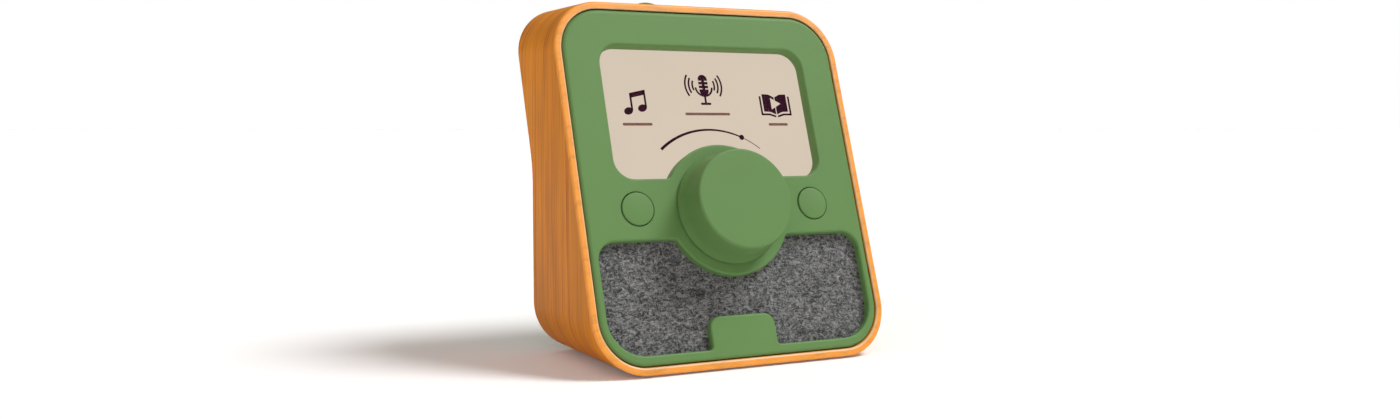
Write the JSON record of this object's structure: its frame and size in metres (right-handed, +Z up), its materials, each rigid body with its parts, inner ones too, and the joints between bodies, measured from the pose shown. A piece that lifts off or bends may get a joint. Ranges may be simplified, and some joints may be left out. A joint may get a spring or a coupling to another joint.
{
  "type": "audio story player",
  "caption": "Table-top audio player with a bent-wood tube shell, leaning moulded face, screen window, large turning knob, push buttons and a felt-covered speaker.",
  "frame": {"origin": "middle of the footprint at the surface that the feet stand on", "axes": "+Z up, the face looks towards -Y and leans back by 19.4 degrees, +X is to the viewer's right"},
  "size_m": [0.1246, 0.0906, 0.1406],
  "materials": {
    "wood": "satin oiled, upright grain bent round the corners",
    "green_plastic": "fine matt moulding",
    "clear_pane": "clear, non-glare",
    "display": "warm off-white picture",
    "felt": "mottled grey wool felt",
    "black_plastic": "matt moulding",
    "steel": "plain plated",
    "zinc": "die-cast",
    "rubber": "matt",
    "foam": "soft closed-cell",
    "circuit_board": "solder mask",
    "paper": "pressed paper",
    "ferrite": "sintered",
    "battery_wrap": "shrink film"
  },
  "bodies": {
    "housing": {"wood_shell": "wood", "corner_cleats": "wood", "rubber_feet": "rubber", "speaker_gasket": "foam", "front_panel": "green_plastic", "rear_cover": "green_plastic", "screen_lens": "clear_pane", "display_module": "display", "display_frame": "steel", "display_screws": "steel", "speaker_felt": "felt", "baffle": "black_plastic", "panel_screws": "steel", "encoder_body": "zinc", "encoder_nut": "steel", "knob_board": "circuit_board", "knob_board_screws": "steel", "front_switches": "black_plastic", "speaker_basket": "steel", "speaker_cone": "paper", "speaker_surround": "rubber", "speaker_magnet": "ferrite", "speaker_screws": "steel", "cover_screws": "steel", "main_board": "circuit_board", "main_board_screws": "steel", "processor_can": "steel", "board_chips": "black_plastic", "usb_socket": "steel", "headphone_socket": "black_plastic", "battery_pack": "battery_wrap", "battery_cradle": "black_plastic", "cradle_screws": "steel", "top_button_guide": "black_plastic", "top_switch_board": "circuit_board", "top_switch": "black_plastic", "top_board_screws": "steel"},
    "knob_push": {"encoder_plunger": "black_plastic"},
    "knob": {"knob_cap": "green_plastic", "encoder_shaft": "steel"},
    "left_button": {"left_button": "green_plastic", "left_plunger": "black_plastic"},
    "right_button": {"right_button": "green_plastic", "right_plunger": "black_plastic"},
    "top_button": {"top_button": "green_plastic", "top_plunger": "black_plastic"}
  },
  "joints": [
    {"name": "knob_press", "type": "slide", "parent": "housing", "child": "knob_push", "axis": [0, 0.9432, -0.3322], "range_m": [0, 0.0005], "stiffness_N_per_m": 2000, "springref_m": -0.001},
    {"name": "knob_turn", "type": "hinge", "parent": "knob_push", "child": "knob", "pos_m": [0, -0.02506, 0.05826], "axis": [0, -0.9432, 0.3322], "continuous": true},
    {"name": "left_press", "type": "slide", "parent": "housing", "child": "left_button", "axis": [0, 0.9432, -0.3322], "range_m": [0, 0.0006], "stiffness_N_per_m": 1500, "springref_m": -0.0006},
    {"name": "right_press", "type": "slide", "parent": "housing", "child": "right_button", "axis": [0, 0.9432, -0.3322], "range_m": [0, 0.0006], "stiffness_N_per_m": 1500, "springref_m": -0.0006},
    {"name": "top_press", "type": "slide", "parent": "housing", "child": "top_button", "axis": [0, 0, -1], "range_m": [0, 0.0008], "stiffness_N_per_m": 1500, "springref_m": -0.0006}
  ]
}
